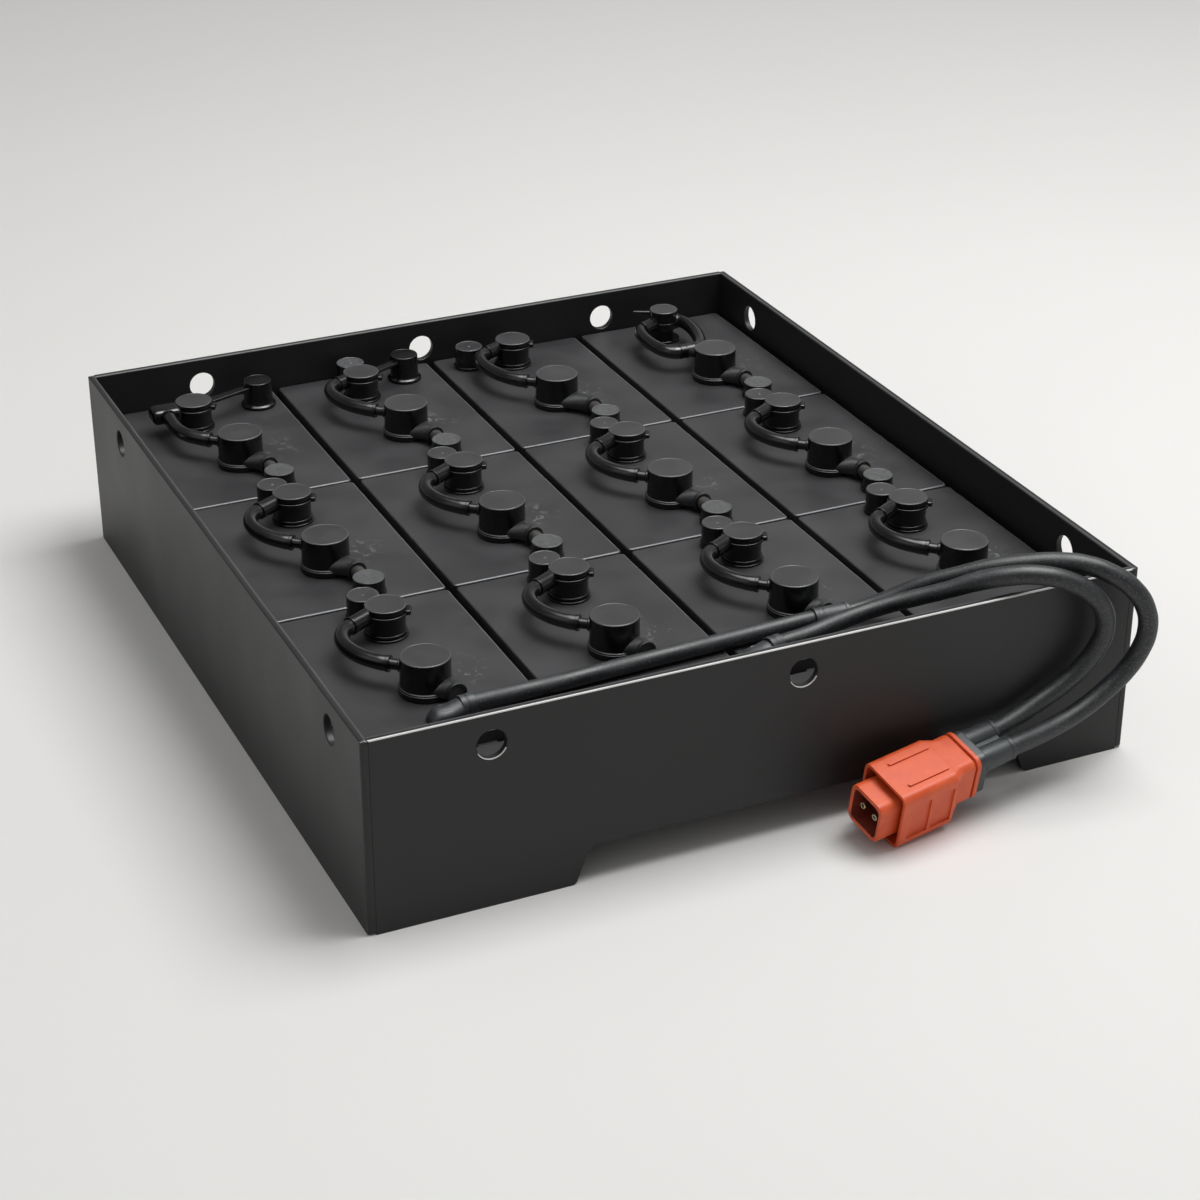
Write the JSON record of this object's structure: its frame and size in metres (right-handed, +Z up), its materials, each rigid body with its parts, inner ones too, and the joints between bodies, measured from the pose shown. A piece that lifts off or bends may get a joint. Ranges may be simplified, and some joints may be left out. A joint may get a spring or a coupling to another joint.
{
  "type": "pallet truck battery",
  "caption": "Traction battery in an open black steel tray: sealed cells with capped poles, linked vent plugs and heavy cables to an orange charging plug.",
  "frame": {"origin": "middle of the tray at ground level, leaving out the charging cables and plug", "axes": "+X to the right along the front wall, +Y from the front wall to the back wall, +Z up"},
  "size_m": [0.66, 0.8057, 0.1909],
  "materials": {
    "tray_steel": "satin black powder coat",
    "board_plastic": "matte",
    "lid_plastic": "matte",
    "cap_plastic": "satin",
    "pale_cap_plastic": "satin",
    "hose_rubber": "satin",
    "cable_rubber": "fine grain",
    "boot_rubber": "satin",
    "pole_lead": "dull lead",
    "plug_plastic": "satin orange",
    "contact_brass": "bright"
  },
  "bodies": {
    "root": {"tray_front_wall": "tray_steel", "tray_back_wall": "tray_steel", "tray_left_wall": "tray_steel", "tray_right_wall": "tray_steel", "tray_floor": "tray_steel", "packing_boards": "board_plastic", "cell_1": "lid_plastic", "float_valve_1": "cap_plastic", "vent_plug_1": "cap_plastic", "cell_2": "lid_plastic", "float_valve_2": "cap_plastic", "vent_plug_2": "cap_plastic", "cell_3": "lid_plastic", "float_valve_3": "cap_plastic", "vent_plug_3": "cap_plastic", "cell_4": "lid_plastic", "float_valve_4": "cap_plastic", "vent_plug_4": "cap_plastic", "cell_5": "lid_plastic", "float_valve_5": "cap_plastic", "vent_plug_5": "cap_plastic", "cell_6": "lid_plastic", "float_valve_6": "cap_plastic", "vent_plug_6": "cap_plastic", "cell_7": "lid_plastic", "float_valve_7": "cap_plastic", "vent_plug_7": "cap_plastic", "cell_8": "lid_plastic", "float_valve_8": "cap_plastic", "vent_plug_8": "cap_plastic", "cell_9": "lid_plastic", "float_valve_9": "cap_plastic", "vent_plug_9": "cap_plastic", "cell_10": "lid_plastic", "float_valve_10": "cap_plastic", "vent_plug_10": "cap_plastic", "cell_11": "lid_plastic", "float_valve_11": "cap_plastic", "vent_plug_11": "cap_plastic", "cell_12": "lid_plastic", "float_valve_12": "cap_plastic", "vent_plug_12": "cap_plastic", "hoses_column_1": "hose_rubber", "hoses_column_2": "hose_rubber", "hoses_column_3": "hose_rubber", "hoses_column_4": "hose_rubber", "lead_poles": "pole_lead", "rear_pole_caps": "cap_plastic", "front_pole_caps": "pale_cap_plastic", "cell_links": "hose_rubber", "side_caps": "pale_cap_plastic", "outer_cable": "cable_rubber", "inner_cable": "cable_rubber", "cable_lugs": "boot_rubber", "cable_coupling": "boot_rubber", "plug_shell": "plug_plastic", "plug_nose": "plug_plastic", "plug_contacts": "contact_brass", "plug_ring": "plug_plastic", "plug_boot": "boot_rubber"}
  },
  "joints": []
}
